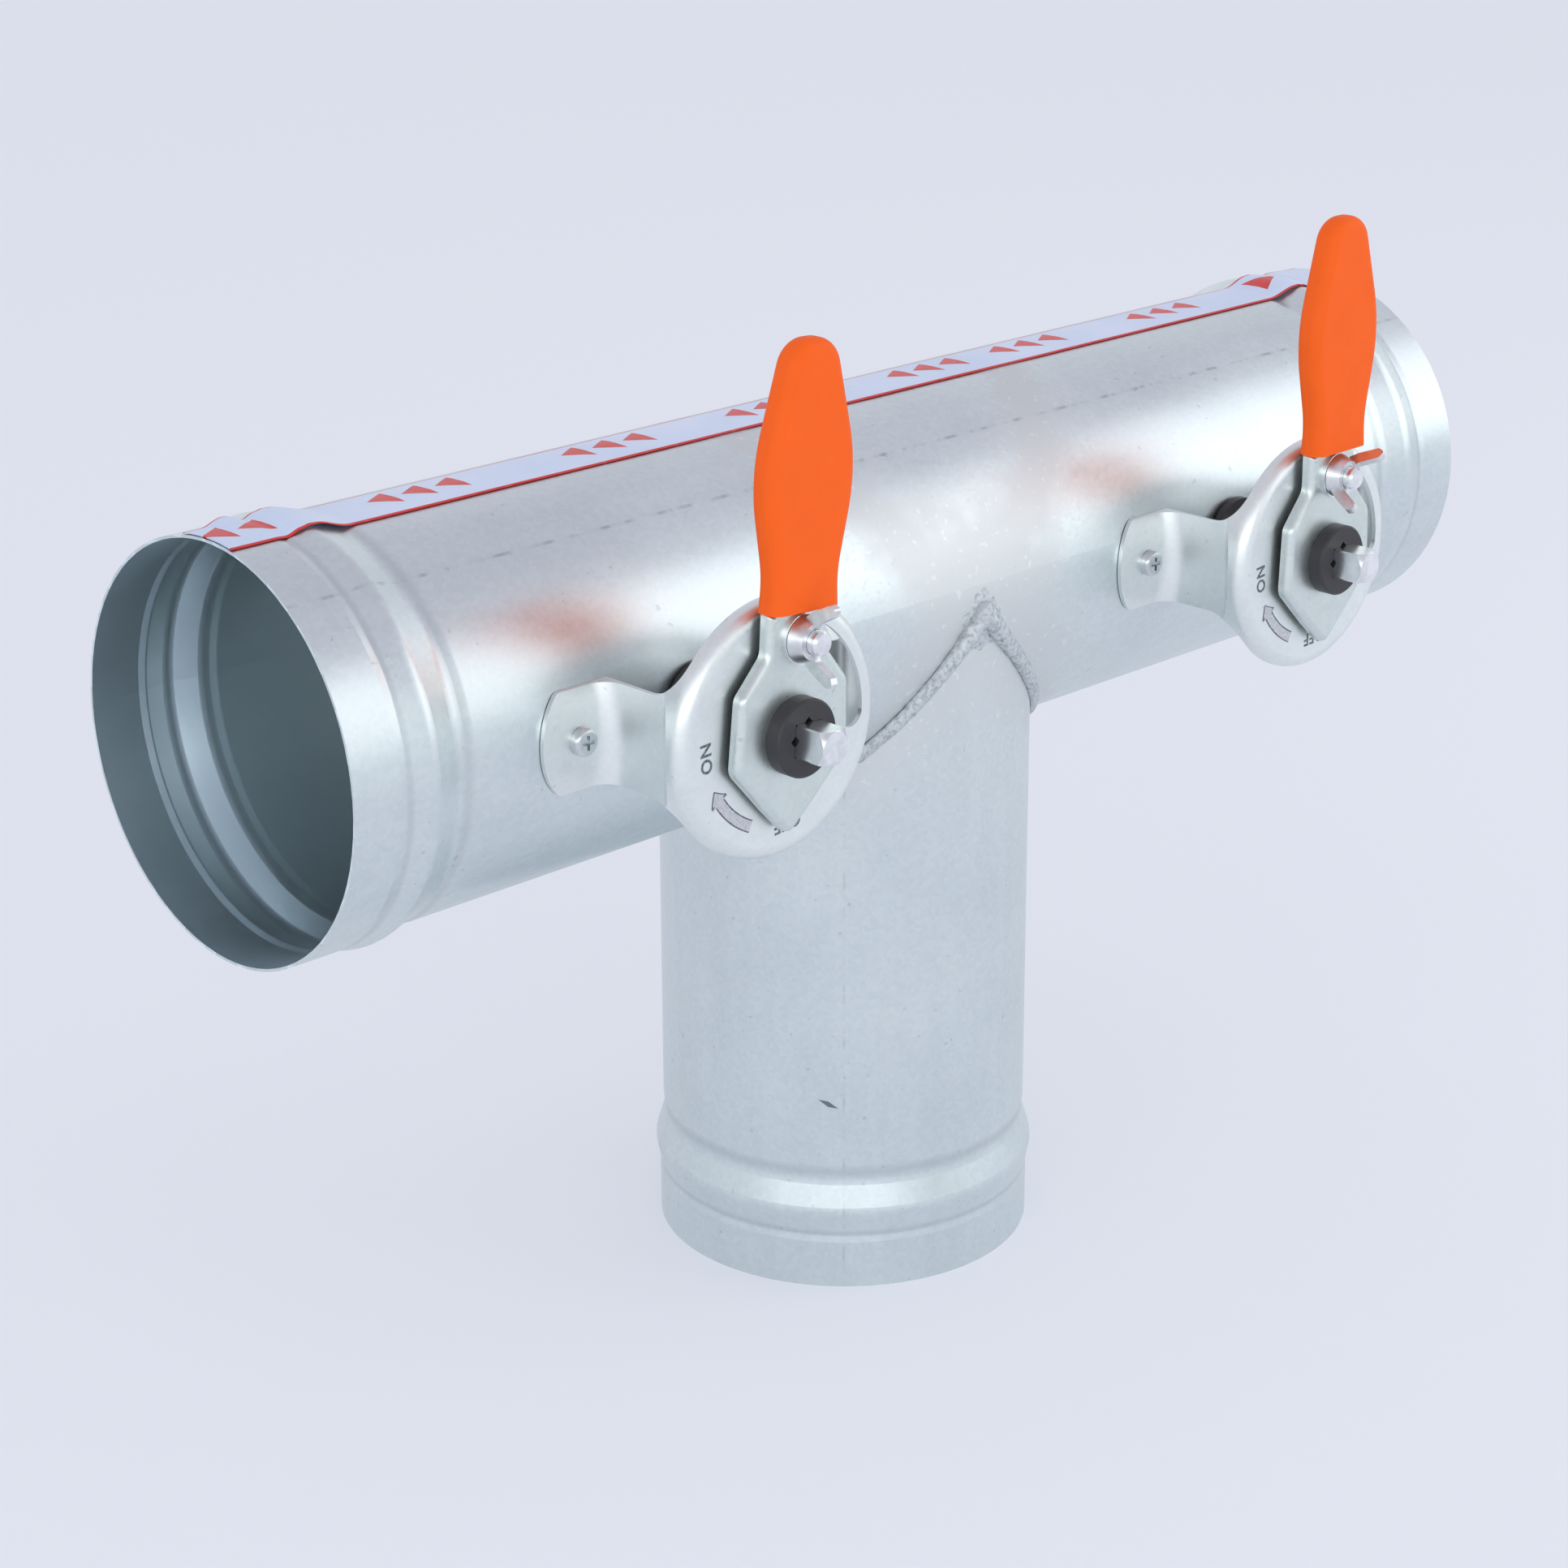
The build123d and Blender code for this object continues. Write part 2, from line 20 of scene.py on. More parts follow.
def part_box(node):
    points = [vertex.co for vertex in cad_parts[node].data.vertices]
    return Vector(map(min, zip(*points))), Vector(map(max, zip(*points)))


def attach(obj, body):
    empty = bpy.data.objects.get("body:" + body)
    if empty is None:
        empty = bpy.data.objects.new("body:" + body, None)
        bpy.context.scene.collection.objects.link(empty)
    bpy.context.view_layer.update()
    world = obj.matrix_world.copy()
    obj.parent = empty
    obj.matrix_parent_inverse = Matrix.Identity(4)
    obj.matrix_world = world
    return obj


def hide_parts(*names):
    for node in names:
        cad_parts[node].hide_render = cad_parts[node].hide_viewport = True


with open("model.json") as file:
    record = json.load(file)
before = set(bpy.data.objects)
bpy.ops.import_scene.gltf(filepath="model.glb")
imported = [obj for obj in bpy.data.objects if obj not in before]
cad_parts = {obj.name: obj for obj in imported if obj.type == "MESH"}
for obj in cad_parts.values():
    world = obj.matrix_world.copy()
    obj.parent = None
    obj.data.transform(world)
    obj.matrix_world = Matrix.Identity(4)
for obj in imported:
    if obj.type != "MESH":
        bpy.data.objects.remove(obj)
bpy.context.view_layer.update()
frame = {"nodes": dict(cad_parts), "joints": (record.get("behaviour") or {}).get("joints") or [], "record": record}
nodes = frame["nodes"]
mm = 0.001

# %% [markdown]
# The part's own record says where its mounts and joints are. The run's height and the
# shafts' places are read from there, so that nothing here can drift from the solids. The
# duct's outer radius is the one size that the record doesn't state.

# %% Where things are
mounts = {mount["name"]: mount for mount in frame["record"]["mounts"]}
joints = {joint["name"]: joint for joint in frame["joints"]}
run_height = mounts["left_socket"]["pos_m"][2]
run_half_length = mounts["right_socket"]["pos_m"][0]
duct_radius = 50 * mm
shaft_x = {side: joints[side + "_damper_turn"]["pos_m"][0] for side in ("left", "right")}
print("run", run_height / mm, "mm up, shafts at", shaft_x)

# %% [markdown]
# ## The camera
#
# The photo was solved as a pinhole camera: its turn round the object, its height above
# the horizon, a small roll, its distance and its focal length. The picture's middle isn't
# where that camera points, and the lens shift moves it there.

# %% Camera
picture_px = 1932
camera_azimuth = math.radians(-43.5066)
camera_elevation = math.radians(17.6850)
camera_roll = math.radians(-0.4710)
camera_distance = 0.958855
camera_target = Vector((0.008245, 0.048825, 0.156915))
focal_px = 4224.17
middle_px = (911.857, 769.961)

across = math.cos(camera_elevation)
back = Vector((math.sin(camera_azimuth) * across, -math.cos(camera_azimuth) * across,
               math.sin(camera_elevation)))
level = Vector((math.cos(camera_azimuth), math.sin(camera_azimuth), 0))
right = level * math.cos(camera_roll) + back.cross(level) * math.sin(camera_roll)
up = back.cross(right)

camera_data = bpy.data.cameras.new("camera")
camera_data.sensor_width = 36
camera_data.lens = focal_px / picture_px * camera_data.sensor_width
camera_data.shift_x = 0.5 - middle_px[0] / picture_px
camera_data.shift_y = middle_px[1] / picture_px - 0.5
camera = bpy.data.objects.new("camera", camera_data)
bpy.context.scene.collection.objects.link(camera)
camera.matrix_world = Matrix.Translation(camera_target + back * camera_distance) @ (
    Matrix((right, up, back)).transposed().to_4x4())
bpy.context.scene.camera = camera
bpy.context.scene.view_settings.view_transform = "Standard"
print("lens", round(camera_data.lens, 2), "mm")

# %% [markdown]
# ## Node helpers
#
# Materials and the world are both trees of nodes. A few short functions keep the code
# that builds them close to a sentence: add a node, feed its sockets, take its result.

# %% Small helpers for node trees


def feed(tree, socket, value):
    """Give a socket a link or a plain value."""
    if isinstance(value, bpy.types.NodeSocket):
        tree.links.new(value, socket)
    else:
        socket.default_value = value


def add(tree, kind, inputs=None, **settings):
    """Add a node, set its options and feed its inputs."""
    made = tree.nodes.new("ShaderNode" + kind)
    for name, value in settings.items():
        setattr(made, name, value)
    for name, value in (inputs or {}).items():
        feed(tree, made.inputs[name], value)
    return made


def calc(tree, operation, *values, clamp=False):
    """A math node's result."""
    step = add(tree, "Math", operation=operation, use_clamp=clamp)
    for socket, value in zip(step.inputs, values):
        feed(tree, socket, value)
    return step.outputs[0]


def ramp(tree, factor, stops):
    """Colour by a factor, from (place, grey or colour) stops."""
    made = add(tree, "ValToRGB", {"Fac": factor})
    band = made.color_ramp
    while len(band.elements) < len(stops):
        band.elements.new(0.5)
    for element, (place, shade) in zip(band.elements, stops):
        element.position = place
        element.color = (*shade, 1) if isinstance(shade, tuple) else (shade, shade, shade, 1)
    return made.outputs["Color"]


def mixed(tree, factor, first, second, blend="MIX"):
    """Two colours mixed by a factor."""
    made = add(tree, "Mix", data_type="RGBA", blend_type=blend)
    feed(tree, made.inputs[0], factor)
    feed(tree, made.inputs[6], first if not isinstance(first, tuple) else (*first, 1))
    feed(tree, made.inputs[7], second if not isinstance(second, tuple) else (*second, 1))
    return made.outputs[2]


def fade(tree, value, none_at, full_at):
    """A smooth step: 0 where the value is none_at, 1 where it is full_at."""
    made = add(tree, "MapRange", {"Value": value}, interpolation_type="SMOOTHSTEP")
    low, high = sorted((none_at, full_at))
    made.inputs["From Min"].default_value = low
    made.inputs["From Max"].default_value = high
    made.inputs["To Min"].default_value = 0.0 if none_at < full_at else 1.0
    made.inputs["To Max"].default_value = 1.0 if none_at < full_at else 0.0
    return made.outputs["Result"]


# %% [markdown]
# ## Light
#
# Bright sheet metal shows the room around it, so the room is part of the finish. The
# world is a soft tent: pale near the horizon and greyer overhead, which gives the run its
# darker top. A wide lamp at the front right makes the bright band along the run, and a
# second one behind the camera makes the bright line on the branch's bead. All are set so
# that a plain colour renders about as it is written.

# %% World and lamps
tent_strength = 1.03
world = bpy.data.worlds.new("tent")
world.use_nodes = True
bpy.context.scene.world = world
tent = world.node_tree
sky = tent.nodes["Background"]
facing = add(tent, "TexCoord").outputs["Generated"]
height = add(tent, "SeparateXYZ", {"Vector": facing}).outputs["Z"]
feed(tent, sky.inputs["Color"], ramp(tent, height, [
    (0.0, (0.84, 0.88, 0.91)), (0.40, (0.84, 0.865, 0.92)), (0.62, (0.635, 0.625, 0.71)),
    (1.0, (0.655, 0.645, 0.725))]))
sky.inputs["Strength"].default_value = tent_strength

# name, degrees round from -Y, degrees up, distance, width, height, watts, colour
lamps = [
    ("front_right_lamp", 50, 20, 1.5, 1.3, 1.0, 3.3, (1.0, 1.0, 1.0)),
    ("left_lamp", -48, 16, 1.6, 2.6, 0.42, 6.0, (0.98, 0.99, 1.0)),
]
room_middle = Vector((0, 0, run_height))
for name, azimuth, elevation, distance, width, lamp_height, watts, colour in lamps:
    light = bpy.data.lights.new(name, "AREA")
    light.shape = "RECTANGLE"
    light.size = width
    light.size_y = lamp_height
    light.energy = watts
    light.color = colour
    turn = math.radians(azimuth)
    rise = math.radians(elevation)
    away = Vector((math.sin(turn) * math.cos(rise), -math.cos(turn) * math.cos(rise),
                   math.sin(rise)))
    lamp = bpy.data.objects.new(name, light)
    bpy.context.scene.collection.objects.link(lamp)
    lamp.location = room_middle + away * distance
    lamp.rotation_euler = away.to_track_quat("Z", "Y").to_euler()
    lamp.visible_camera = False
print(len(lamps), "lamps")

# %% [markdown]
# The floor is a plain pale sheet, faintly blue as in the photo. It is mostly an ordinary
# matt surface, which keeps the part's soft shadow. What the camera and the bright metal
# see of it is lifted by a share of plain glow, so that it looks as pale as in the photo
# with no more light on the part.

# %% Floor
floor_half = 6.0
glow_share = 0.38
floor_mesh = bmesh.new()
bmesh.ops.create_grid(floor_mesh, x_segments=1, y_segments=1, size=floor_half)
floor_data = bpy.data.meshes.new("floor")
floor_mesh.to_mesh(floor_data)
floor_mesh.free()
floor = bpy.data.objects.new("floor", floor_data)
bpy.context.scene.collection.objects.link(floor)
floor_paint = bpy.data.materials.new("floor_paint")
floor_paint.use_nodes = True
floor_shader = floor_paint.node_tree.nodes["Principled BSDF"]
floor_shader.inputs["Base Color"].default_value = (0.86, 0.88, 0.93, 1)
floor_shader.inputs["Roughness"].default_value = 0.9
floor_tree = floor_paint.node_tree
floor_glow = add(floor_tree, "Emission", {"Color": (0.84, 0.885, 0.955, 1), "Strength": 1.0})
floor_path = add(floor_tree, "LightPath").outputs
seen = calc(floor_tree, "MAXIMUM", floor_path["Is Camera Ray"], floor_path["Is Glossy Ray"])
floor_mix = add(floor_tree, "MixShader", {
    "Fac": calc(floor_tree, "MULTIPLY", seen, glow_share)})
feed(floor_tree, floor_mix.inputs[1], floor_shader.outputs[0])
feed(floor_tree, floor_mix.inputs[2], floor_glow.outputs[0])
feed(floor_tree, floor_tree.nodes["Material Output"].inputs["Surface"], floor_mix.outputs[0])
floor_data.materials.append(floor_paint)
print("floor", 2 * floor_half, "m wide")

# %% [markdown]
# ## Finishes
#
# Every finish starts as one function, so that pieces of the same stock share it. They
# read Object coordinates, which are the part's own metres, so a texture's scale is a real
# size: 1000 gives one cell to each millimetre.

# %% Shared parts of the finishes


def new_finish(name, roughness, metallic, colour=None):
    """An empty finish: its node tree, its shader and the place on the part."""
    material = bpy.data.materials.new(name)
    material.use_nodes = True
    tree = material.node_tree
    shader = tree.nodes["Principled BSDF"]
    shader.inputs["Metallic"].default_value = metallic
    shader.inputs["Roughness"].default_value = roughness
    if colour:
        shader.inputs["Base Color"].default_value = (*colour, 1)
    place = add(tree, "TexCoord").outputs["Object"]
    return material, tree, shader, place


def grain(tree, place, scale, detail=2.0, stretch=None):
    """Soft noise between 0 and 1, with cells of about 1 / scale metres."""
    if stretch:
        place = add(tree, "Mapping", {"Vector": place, "Scale": stretch}).outputs[0]
    made = add(tree, "TexNoise", {"Vector": place, "Scale": scale, "Detail": detail})
    return made.outputs["Fac"]


def bumped(tree, shader, height, depth, strength=1.0):
    """Turn a height into surface relief of a depth in metres."""
    bump = add(tree, "Bump", {"Height": height, "Distance": depth, "Strength": strength})
    feed(tree, shader.inputs["Normal"], bump.outputs["Normal"])


# %% [markdown]
# Zinc on steel sheet is pale and satin. Close up it has three layers of detail, and each
# is a noise of its own size: flakes about a millimetre wide, clouds as wide as a thumb,
# and thin streaks left by the rolls. A few dark specks lie between them. The relief is a
# hundredth of a millimetre, only enough to break the reflection up.

# %% Zinc coated sheet
flake_scale, cloud_scale, streak_scale, speck_scale = 800.0, 24.0, 160.0, 420.0
flake_share, cloud_share, streak_share = 0.18, 0.55, 0.27
speck_tone = (0.30, 0.31, 0.32)


def zinc_tone(tree, place, streak):
    """Tone between 0 and 1 of zinc: flakes, clouds and streaks."""
    flakes = add(tree, "TexVoronoi", {"Vector": place, "Scale": flake_scale}).outputs["Color"]
    flake = add(tree, "SeparateColor", {"Color": flakes}).outputs[0]
    cloud = grain(tree, place, cloud_scale, 5.0)
    rolled = grain(tree, place, streak_scale, 3.0, streak)
    flaked = calc(tree, "MULTIPLY", flake, flake_share)
    tone = calc(tree, "MULTIPLY_ADD", cloud, cloud_share, flaked)
    return calc(tree, "MULTIPLY_ADD", rolled, streak_share, tone), flake


def zinc_sheet(name, pale, dark, roughness, streak=(0.15, 1.0, 1.0), relief_mm=0.010):
    """Finish, tree, shader, place, colour and roughness of plain zinc coated sheet."""
    material, tree, shader, place = new_finish(name, roughness, 1.0)
    tone, flake = zinc_tone(tree, place, streak)
    colour = ramp(tree, tone, [(0.32, dark), (0.68, pale)])
    speck = fade(tree, grain(tree, place, speck_scale, 1.0), 0.73, 0.80)
    colour = mixed(tree, calc(tree, "MULTIPLY", speck, 0.30), colour, speck_tone)
    rough = calc(tree, "MULTIPLY_ADD", tone, 0.12, roughness - 0.06)
    relief = calc(tree, "MULTIPLY_ADD", flake, 0.3, grain(tree, place, 1400.0))
    bumped(tree, shader, relief, relief_mm * mm, 0.35)
    feed(tree, shader.inputs["Base Color"], colour)
    feed(tree, shader.inputs["Roughness"], rough)
    return material, tree, shader, place, colour, rough


# The blade sits deep inside the run, so its zinc is painted darker than the ducts': painted shade.
shaded_blade_sheet = zinc_sheet("shaded_blade_sheet", (0.54, 0.59, 0.60), (0.46, 0.51, 0.52), 0.36)[0]
print("made", shaded_blade_sheet.name)

# %% [markdown]
# The ducts carry more than plain zinc. Each has the thin broken line of its long seam, a
# dull scrape lies on the branch, and the creases beside each bead hold a little shade.
# Such a mark could be painted on, but arithmetic on the place needs no picture: how far
# round the duct a point lies, and how far along it. Which way a face looks tells the
# inside from the outside.

# %% Marks on the ducts
seam_break_scale = 160.0
bead_creases = ((15.6 * mm, 1.5 * mm), (33.0 * mm, 2.6 * mm))


def seam_line(tree, turn, seam_turn, along, width):
    """A thin broken line where the turn about the axis is the seam's."""
    off = calc(tree, "ABSOLUTE", calc(tree, "SUBTRACT", turn, seam_turn))
    line = fade(tree, calc(tree, "MULTIPLY", off, duct_radius), width, width * 0.3)
    point = add(tree, "CombineXYZ", {"X": along}).outputs[0]
    broken = fade(tree, grain(tree, point, seam_break_scale, 6.0), 0.44, 0.64)
    return calc(tree, "MULTIPLY", line, broken)


def dull_smear(tree, turn, along, middle, length, width, slope):
    """A short slanted scrape on a duct: 1 on it and 0 off it."""
    near = calc(tree, "SUBTRACT", calc(tree, "MULTIPLY", turn, duct_radius), middle[0])
    high = calc(tree, "SUBTRACT", along, middle[1])
    far = calc(tree, "ABSOLUTE", calc(tree, "DIVIDE", near, length))
    off = calc(tree, "ABSOLUTE", calc(tree, "MULTIPLY_ADD", near, slope, high))
    far = calc(tree, "ADD", far, calc(tree, "DIVIDE", off, width))
    return fade(tree, far, 1.0, 0.8)


def crease_shade(tree, from_end):
    """1 in the two creases that bound a rolled bead, 0 away from them."""
    lines = []
    for middle, half_width in bead_creases:
        off = calc(tree, "ABSOLUTE", calc(tree, "SUBTRACT", from_end, middle))
        lines.append(fade(tree, off, half_width, 0.0))
    return calc(tree, "MAXIMUM", *lines)


def inner_side(tree, axes, outward):
    """1 on faces that look towards the duct's axis, 0 on its outer side."""
    normal = add(tree, "SeparateXYZ", {"Vector": add(tree, "NewGeometry").outputs["Normal"]})
    first = calc(tree, "MULTIPLY", normal.outputs[axes[1]], outward[1])
    looks = calc(tree, "MULTIPLY_ADD", normal.outputs[axes[0]], outward[0], first)
    return calc(tree, "LESS_THAN", looks, 0.0)


# %% [markdown]
# Zinc spray was dusted over the weld after welding. Where a point lies near both ducts'
# surfaces at once, it lies near the weld, so one measure finds that zone on either duct:
# the larger of its distances from the two. The spray is matt, and speckled at its edge.
# The inside has painted light and shade: pale and bluish near the mouth, where light comes
# in, and painted darker with depth.

# %% Duct finish
spray_reach, far_spray_reach, spatter_reach = 19 * mm, 40 * mm, 30 * mm
spray_tone, spatter_tone = (0.69, 0.71, 0.71), (0.86, 0.88, 0.88)
scrape_tone, seam_tone = (0.20, 0.22, 0.23), (0.22, 0.24, 0.25)
crease_tone = (0.36, 0.40, 0.42)
# painted light and shade on the inside: pale near the mouth, dark deep in
deep_inner_shade, mouth_inner_light = (0.46, 0.52, 0.53), (0.82, 0.94, 1.0)


def duct_finish(name, seam_degrees, seam_width, seam_dark, lies_along_x):
    """Zinc sheet with a long seam, spray round the weld and a scrape."""
    streak = (0.15, 1.0, 1.0) if lies_along_x else (1.0, 1.0, 0.15)
    material, tree, shader, place, colour, rough = zinc_sheet(
        name, (0.72, 0.785, 0.795), (0.635, 0.70, 0.715), 0.35, streak)
    x, y, z = add(tree, "SeparateXYZ", {"Vector": place}).outputs[:3]
    above = calc(tree, "SUBTRACT", z, run_height)
    front = calc(tree, "MULTIPLY", y, -1.0)
    square_y = calc(tree, "MULTIPLY", y, y)
    off_branch = calc(tree, "SQRT", calc(tree, "MULTIPLY_ADD", x, x, square_y))
    off_run = calc(tree, "SQRT", calc(tree, "MULTIPLY_ADD", above, above, square_y))
    from_weld = calc(
        tree, "MAXIMUM",
        calc(tree, "ABSOLUTE", calc(tree, "SUBTRACT", off_branch, duct_radius)),
        calc(tree, "ABSOLUTE", calc(tree, "SUBTRACT", off_run, duct_radius)))
    ragged = calc(tree, "MULTIPLY_ADD", grain(tree, place, 90.0, 6.0), 14 * mm, from_weld)
    dusted = fade(tree, ragged, spray_reach, 9 * mm)
    speckle = fade(tree, grain(tree, place, 700.0, 2.0), 0.50, 0.66)
    far_dust = calc(tree, "MULTIPLY", fade(tree, ragged, far_spray_reach, 14 * mm), speckle)
    spray = calc(tree, "MAXIMUM", dusted, calc(tree, "MULTIPLY", far_dust, 0.55))
    colour = mixed(tree, calc(tree, "MULTIPLY", spray, 0.75), colour, spray_tone)
    spatter = fade(tree, grain(tree, place, 520.0, 3.0), 0.62, 0.70)
    spatter = calc(tree, "MULTIPLY", spatter, fade(tree, ragged, spatter_reach, 9 * mm))
    colour = mixed(tree, calc(tree, "MULTIPLY", spatter, 0.5), colour, spatter_tone)
    if lies_along_x:
        turn, along = calc(tree, "ARCTAN2", front, above), x
        from_end = calc(tree, "SUBTRACT", run_half_length, calc(tree, "ABSOLUTE", x))
        inner = inner_side(tree, "YZ", (y, above))
    else:
        turn, along = calc(tree, "ARCTAN2", x, front), z
        from_end = z
        inner = inner_side(tree, "XY", (x, y))
        scrape = dull_smear(tree, turn, z, (-43.4 * mm, 53 * mm), 3.0 * mm, 0.9 * mm, 0.45)
        colour = mixed(tree, scrape, colour, scrape_tone)
    seam = seam_line(tree, turn, math.radians(seam_degrees), along, seam_width)
    colour = mixed(tree, calc(tree, "MULTIPLY", seam, seam_dark), colour, seam_tone)
    crease = calc(tree, "MULTIPLY", crease_shade(tree, from_end), 0.26)
    colour = mixed(tree, crease, colour, crease_tone)
    # The inside gets painted light near the mouth and painted shade deeper in.
    near_mouth = fade(tree, from_end, 75 * mm, 25 * mm)
    inner_light_and_shade = mixed(tree, near_mouth, deep_inner_shade, mouth_inner_light)
    colour = mixed(tree, calc(tree, "MULTIPLY", inner, 0.82), colour, inner_light_and_shade)
    feed(tree, shader.inputs["Base Color"], colour)
    feed(tree, shader.inputs["Roughness"], calc(tree, "MULTIPLY_ADD", spray, 0.16, rough))
    return material


run_sheet = duct_finish("run_sheet", 35.5, 0.7 * mm, 0.42, True)
branch_sheet = duct_finish("branch_sheet", -45.0, 0.5 * mm, 0.20, False)
print("made", run_sheet.name, "and", branch_sheet.name)

# %% [markdown]
# The quadrant plates and levers are pressed from thicker sheet. Their rubbed edges are
# brighter: a Bevel node gives a normal rounded over the nearest edge, and where it turns
# away from the true one, the point lies on an edge. The levers are a little darker than
# the plates, as on the real ones.

# %% Pressed sheet and the levers
rubbed_width = 0.5 * mm


def pressed_steel(name, pale, dark, roughness, worn):
    """Pressed zinc coated sheet with edges rubbed bright."""
    material, tree, shader, place, colour, _ = zinc_sheet(
        name, pale, dark, roughness, (1.0, 1.0, 1.0), 0.014)
    rounded = add(tree, "Bevel", {"Radius": rubbed_width}, samples=6).outputs["Normal"]
    true_normal = add(tree, "NewGeometry").outputs["Normal"]
    turned = add(tree, "VectorMath", {0: rounded, 1: true_normal},
                 operation="DOT_PRODUCT").outputs["Value"]
    edge = calc(tree, "MULTIPLY", fade(tree, turned, 0.985, 0.88),
                fade(tree, grain(tree, place, 260.0, 4.0), 0.35, 0.6))
    colour = mixed(tree, calc(tree, "MULTIPLY", edge, worn), colour, (0.84, 0.85, 0.86))
    feed(tree, shader.inputs["Base Color"], colour)
    return material


plate_sheet = pressed_steel("plate_sheet", (0.835, 0.88, 0.87), (0.77, 0.81, 0.805), 0.40, 0.5)
lever_sheet = pressed_steel("lever_sheet", (0.72, 0.79, 0.77), (0.64, 0.70, 0.685), 0.38, 0.8)
print("made", plate_sheet.name, "and", lever_sheet.name)

# %% [markdown]
# The shafts, screws and nuts are bright steel. The bushes are black nylon and the grips a
# soft orange sleeve. Each is one short finish: a base colour that drifts a little, and a
# fine skin in the relief. The grip's own sheen is kept low, because its colour in the
# photo stays deep on every side.

# %% Bright steel, nylon and grips


def bright_steel(name, colour, roughness):
    """Drawn or plated steel with a fine uneven sheen."""
    material, tree, shader, place = new_finish(name, roughness, 1.0)
    cloud = grain(tree, place, 400.0, 3.0)
    darker = tuple(0.85 * part for part in colour)
    feed(tree, shader.inputs["Base Color"], ramp(tree, cloud, [(0.35, darker), (0.65, colour)]))
    bumped(tree, shader, grain(tree, place, 2500.0), 0.01 * mm, 0.3)
    return material


def moulded(name, colour, roughness, specular, shade=0.9):
    """Moulded plastic: an even colour with a fine matt skin."""
    material, tree, shader, place = new_finish(name, roughness, 0.0)
    shader.inputs["Specular IOR Level"].default_value = specular
    cloud = grain(tree, place, 120.0, 3.0)
    darker = tuple(shade * part for part in colour)
    feed(tree, shader.inputs["Base Color"], ramp(tree, cloud, [(0.3, darker), (0.7, colour)]))
    bumped(tree, shader, grain(tree, place, 1800.0), 0.02 * mm, 0.3)
    return material


bar_steel = bright_steel("bar_steel", (0.86, 0.88, 0.90), 0.25)
plated_steel = bright_steel("plated_steel", (0.80, 0.82, 0.83), 0.34)
screw_steel = bright_steel("screw_steel", (0.66, 0.70, 0.71), 0.28)
black_nylon = moulded("black_nylon", (0.040, 0.039, 0.042), 0.45, 0.4, 0.8)
orange_sleeve = moulded("orange_sleeve", (1.0, 0.138, 0.014), 0.50, 0.12, 0.96)
print("made", bar_steel.name, plated_steel.name, screw_steel.name, black_nylon.name,
      orange_sleeve.name)

# %% [markdown]
# The weld's own finish is the spray on its own: pale, matt and grainy, with darker scale
# in the pits.

# %% Weld finish
weld_zinc, weld_tree, weld_shader, weld_place = new_finish("weld_zinc", 0.60, 1.0)
weld_grit = grain(weld_tree, weld_place, 900.0, 4.0)
feed(weld_tree, weld_shader.inputs["Base Color"], ramp(weld_tree, weld_grit, [
    (0.33, (0.44, 0.475, 0.49)), (0.50, (0.61, 0.655, 0.67)), (0.68, (0.69, 0.73, 0.745))]))
bumped(weld_tree, weld_shader, weld_grit, 0.14 * mm, 0.6)
print("made", weld_zinc.name)

# %% [markdown]
# The tape is a pale blue film with a thin red line along each edge. Red arrows run along
# its middle in threes, 10 mm apart. A pattern like that is arithmetic on the place: how
# far round the run a point lies, and how far along. Each arrow is a triangle, so the red
# is where the distance off the middle is less than the arrow's half width there.

# %% Tape finish
arrow_length = 7.5 * mm
arrow_half_width = 4.9 * mm
arrow_middle = -0.5
arrow_pitch = 10 * mm
first_tips = [-213.0, -156.5, -97.2, -42.5, 16.6, 56.5, 114.2]
arrow_tips = [(first * mm + step * arrow_pitch) for first in first_tips for step in range(3)]
arrow_tips = [tip for tip in arrow_tips if tip < 150 * mm]
reversed_tip = 182 * mm
reversed_length = 10 * mm
tape_edge_low = -10.0
tape_edge_high = 10.8
edge_line = 0.8 * mm

tape_film, tape_tree, tape_shader, tape_place = new_finish("tape_film", 0.38, 0.0)
tape_shader.inputs["Specular IOR Level"].default_value = 0.35
tape_x, tape_y, tape_z = add(tape_tree, "SeparateXYZ", {"Vector": tape_place}).outputs[:3]
round_run = calc(tape_tree, "MULTIPLY", duct_radius, calc(
    tape_tree, "ARCTAN2", calc(tape_tree, "MULTIPLY", tape_y, -1.0),
    calc(tape_tree, "SUBTRACT", tape_z, run_height)))
off_middle = calc(tape_tree, "ABSOLUTE", calc(
    tape_tree, "SUBTRACT", round_run, math.radians(arrow_middle) * duct_radius))


def arrow_mask(tip, length, half_width):
    """1 on one arrow with its tip at a place along X; a negative length turns it round."""
    along = calc(tape_tree, "DIVIDE", calc(tape_tree, "SUBTRACT", tape_x, tip), length)
    inside = calc(tape_tree, "SUBTRACT", calc(tape_tree, "MULTIPLY", along, half_width),
                  off_middle)
    ends = calc(tape_tree, "LESS_THAN", along, 1.0)
    return calc(tape_tree, "MULTIPLY", ends, fade(tape_tree, inside, -0.08 * mm, 0.08 * mm))


